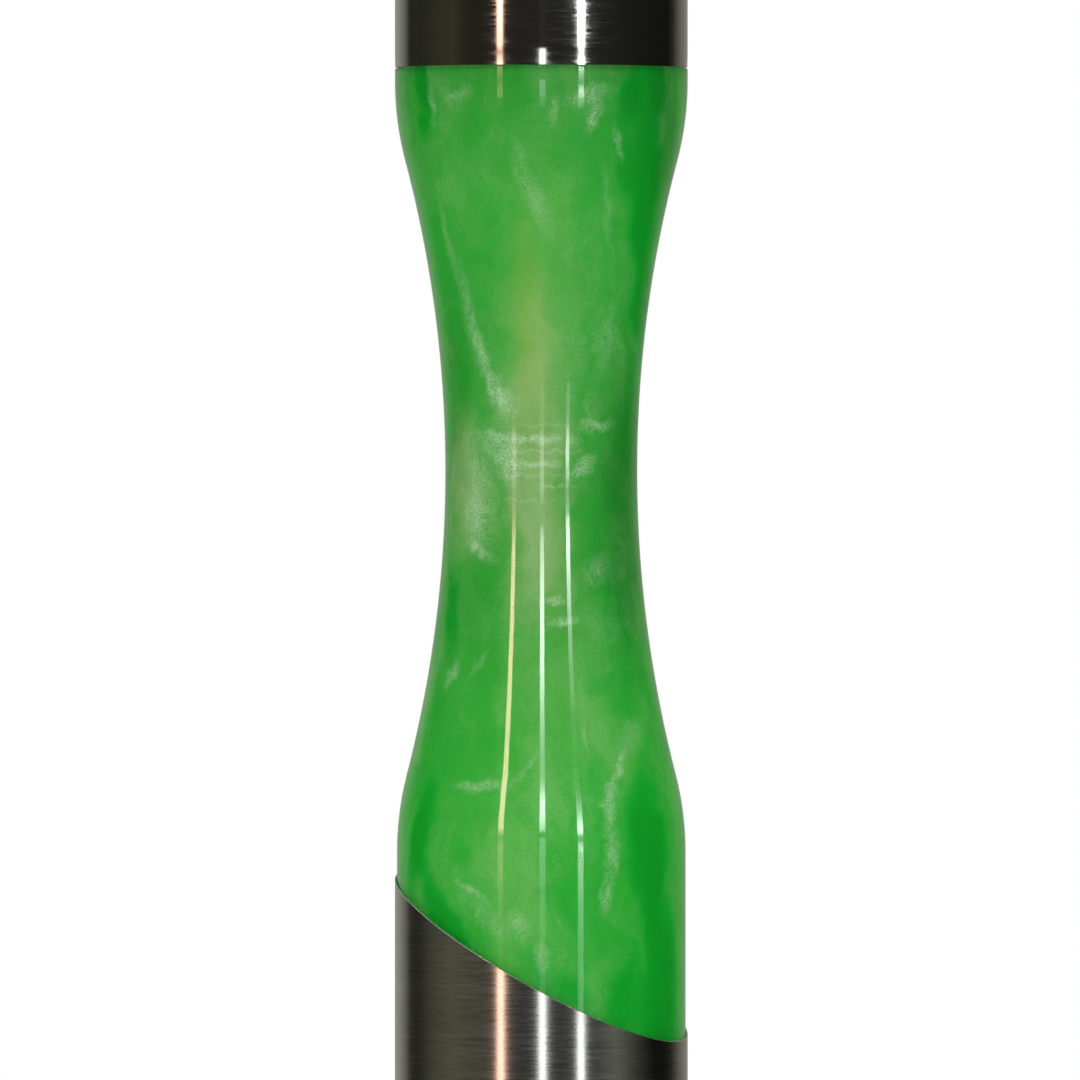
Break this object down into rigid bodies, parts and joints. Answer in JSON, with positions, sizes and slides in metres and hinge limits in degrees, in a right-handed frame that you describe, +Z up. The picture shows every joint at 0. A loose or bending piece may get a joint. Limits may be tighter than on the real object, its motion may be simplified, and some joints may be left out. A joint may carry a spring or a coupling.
{
  "type": "lava lamp",
  "caption": "Tall lava lamp: an hourglass glass vessel of pearlescent green fluid between a brushed steel base cut off at a slant and a plain brushed steel cap.",
  "frame": {"origin": "on the lamp's axis, on the surface its feet stand on", "axes": "+Z up along the lamp's axis; +Y towards the back, where the cord leaves; the base's slanted edge is lowest towards +X and a little to the front"},
  "size_m": [0.09, 0.0923, 0.465],
  "materials": {
    "brushed_steel": "circumferentially brushed stainless steel",
    "zinc_steel": "zinc-plated sheet and fasteners",
    "aluminium": "spun aluminium, bright inside",
    "brass": "plain brass",
    "nickel": "tin or nickel plate",
    "vessel_glass": "clear, polished",
    "bulb_glass": "clear, thin",
    "fluid": "green pearlescent fluid with swirls of mica",
    "porcelain": "glazed white",
    "black_glass": "opaque black insulator glass",
    "black_plastic": "moulded nylon",
    "white_plastic": "moulded",
    "rubber": "soft, matt",
    "silicone": "translucent grey silicone",
    "tungsten": "drawn wire",
    "brown_wire": "PVC sheath",
    "blue_wire": "PVC sheath",
    "green_wire": "PVC sheath, green and yellow"
  },
  "bodies": {
    "base": {"base_plate": "zinc_steel", "base_ring": "zinc_steel", "base_sleeve": "brushed_steel", "bracket_nut_1": "zinc_steel", "bracket_nut_2": "zinc_steel", "bracket_screw_1": "zinc_steel", "bracket_screw_2": "zinc_steel", "cord_gland": "black_plastic", "earth_nut": "zinc_steel", "earth_screw": "zinc_steel", "earth_wire": "green_wire", "foot_1": "rubber", "foot_2": "rubber", "foot_3": "rubber", "foot_4": "rubber", "gland_nut": "black_plastic", "lamp_socket": "porcelain", "live_wire": "brown_wire", "neutral_wire": "blue_wire", "plate_nut_1": "zinc_steel", "plate_nut_2": "zinc_steel", "plate_nut_3": "zinc_steel", "plate_screw_1": "zinc_steel", "plate_screw_2": "zinc_steel", "plate_screw_3": "zinc_steel", "seat_gasket": "silicone", "socket_bracket": "zinc_steel", "socket_contact": "brass", "socket_thread_shell": "brass", "support_foot": "aluminium", "support_tube": "aluminium", "terminal_block": "white_plastic", "vessel_seat": "aluminium"},
    "bulb_carrier": {"bulb_contact_tip": "nickel", "bulb_insulator": "black_glass"},
    "bulb": {"bulb_glass": "bulb_glass", "bulb_stem": "bulb_glass", "bulb_filament": "tungsten", "bulb_screw_shell": "brass"},
    "vessel": {"glass_vessel": "vessel_glass", "pearl_fluid": "fluid", "crown_cap": "nickel", "crown_liner": "white_plastic"},
    "cap": {"cap_sleeve": "brushed_steel", "cap_lid": "brushed_steel", "cap_liner": "black_plastic"}
  },
  "joints": [
    {"name": "vessel_lift", "type": "slide", "parent": "base", "child": "vessel", "axis": [0, 0, 1], "range_m": [0, 0.075]},
    {"name": "cap_lift", "type": "slide", "parent": "vessel", "child": "cap", "axis": [0, 0, 1], "range_m": [0, 0.07]},
    {"name": "bulb_rise", "type": "slide", "parent": "base", "child": "bulb_carrier", "axis": [0, 0, 1], "range_m": [0, 0.0114]},
    {"name": "bulb_turn", "type": "hinge", "parent": "bulb_carrier", "child": "bulb", "pos_m": [0, 0, 0.0172], "axis": [0, 0, 1], "range_deg": [0, 1440]}
  ],
  "couplings": [
    {"joint": "bulb_rise", "follows": "bulb_turn", "m_per_rad": 0.00044882}
  ]
}
